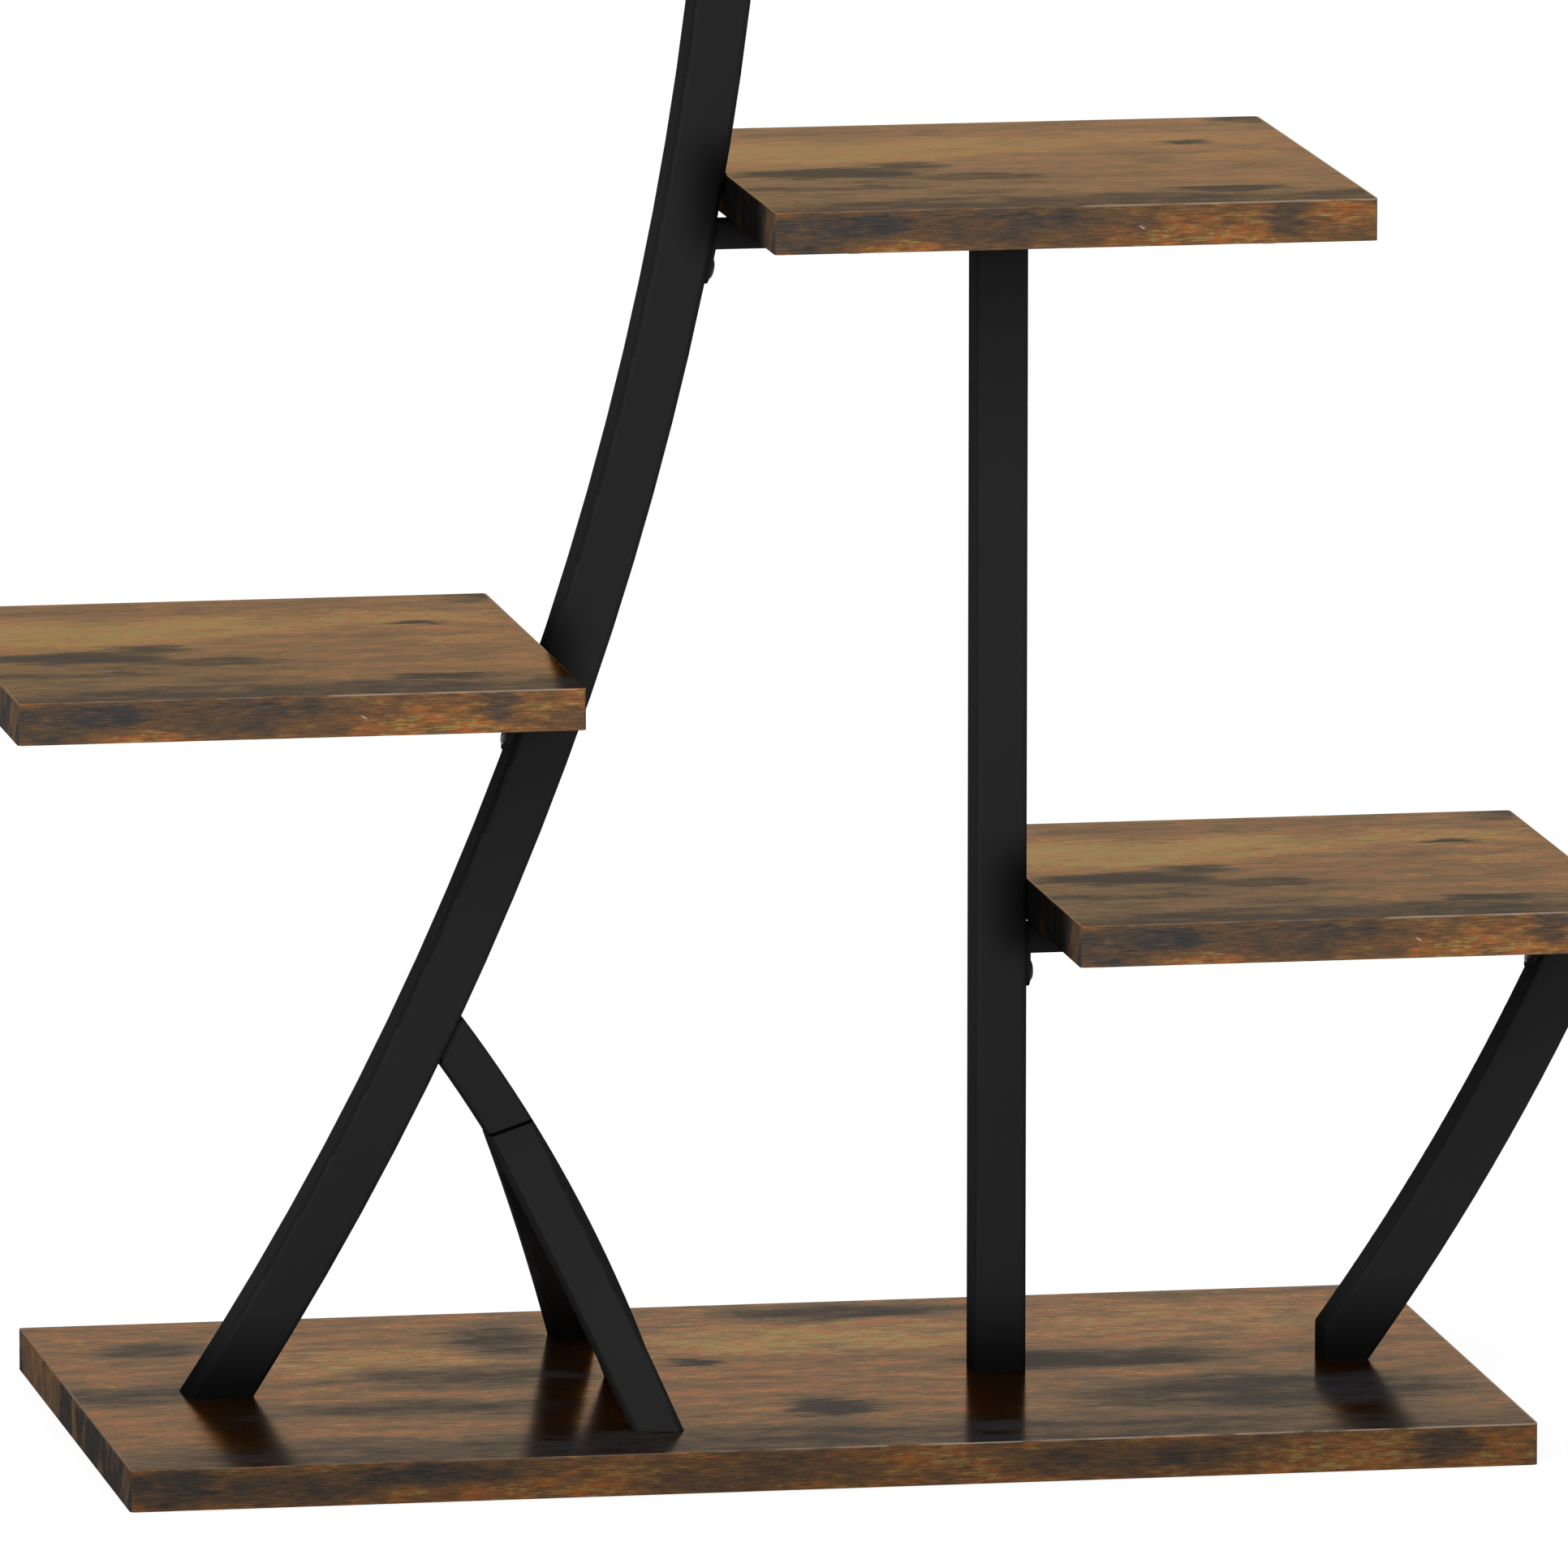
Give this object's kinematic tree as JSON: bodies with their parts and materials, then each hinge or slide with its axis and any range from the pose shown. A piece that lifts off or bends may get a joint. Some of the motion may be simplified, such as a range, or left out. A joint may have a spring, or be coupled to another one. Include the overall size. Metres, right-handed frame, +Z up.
{
  "type": "tiered plant stand",
  "caption": "Tall half-moon plant stand: a bowed black steel stem on a wood-look base carries staggered wood-look shelves on brackets, with a post, a bowed leg and a forked brace.",
  "frame": {"origin": "middle of the base board's underside, on the floor", "axes": "+X to the right and +Y to the back as the stand is used, +Z up"},
  "size_m": [0.6535, 0.29, 1.3839],
  "materials": {
    "black_painted_steel": "satin black powder coat",
    "wood_laminate": "rustic brown laminate with a satin sheen",
    "edge_band": "rustic brown edge band",
    "zinc_plated_steel": "bright zinc plate",
    "black_screws": "black oxide",
    "black_plastic": "matt black moulded plastic"
  },
  "bodies": {
    "root": {"base_board": "wood_laminate", "base_edge_band": "edge_band", "base_bolts": "zinc_plated_steel", "base_washers": "zinc_plated_steel", "foot_plates": "black_painted_steel", "stem_lower": "black_painted_steel", "stem_upper": "black_painted_steel", "stem_sleeve": "zinc_plated_steel", "stem_sleeve_screws": "black_screws", "stem_cap": "black_plastic", "post": "black_painted_steel", "post_top_plug": "zinc_plated_steel", "post_screw": "zinc_plated_steel", "right_leg": "black_painted_steel", "right_leg_cap": "black_plastic", "brace_bow": "black_painted_steel", "brace_top_plug": "black_painted_steel", "brace_stud": "zinc_plated_steel", "brace_stud_nut": "zinc_plated_steel", "brace_front_leg": "black_painted_steel", "brace_rear_leg": "black_painted_steel", "low_right_board": "wood_laminate", "low_right_edge_band": "edge_band", "low_right_rail": "black_painted_steel", "low_right_end_plates": "black_painted_steel", "low_right_straps": "black_painted_steel", "low_left_board": "wood_laminate", "low_left_edge_band": "edge_band", "low_left_rail": "black_painted_steel", "low_left_end_plate": "black_painted_steel", "low_left_straps": "black_painted_steel", "mid_right_board": "wood_laminate", "mid_right_edge_band": "edge_band", "mid_right_rail": "black_painted_steel", "mid_right_end_plate": "black_painted_steel", "mid_right_straps": "black_painted_steel", "mid_left_board": "wood_laminate", "mid_left_edge_band": "edge_band", "mid_left_rail": "black_painted_steel", "mid_left_end_plate": "black_painted_steel", "mid_left_straps": "black_painted_steel", "high_right_board": "wood_laminate", "high_right_edge_band": "edge_band", "high_right_rail": "black_painted_steel", "high_right_end_plate": "black_painted_steel", "high_right_straps": "black_painted_steel", "high_left_board": "wood_laminate", "high_left_edge_band": "edge_band", "high_left_rail": "black_painted_steel", "high_left_end_plate": "black_painted_steel", "high_left_straps": "black_painted_steel", "plate_screws": "black_screws", "plate_nuts": "zinc_plated_steel", "board_screws": "zinc_plated_steel", "rail_caps": "black_plastic"}
  },
  "joints": []
}
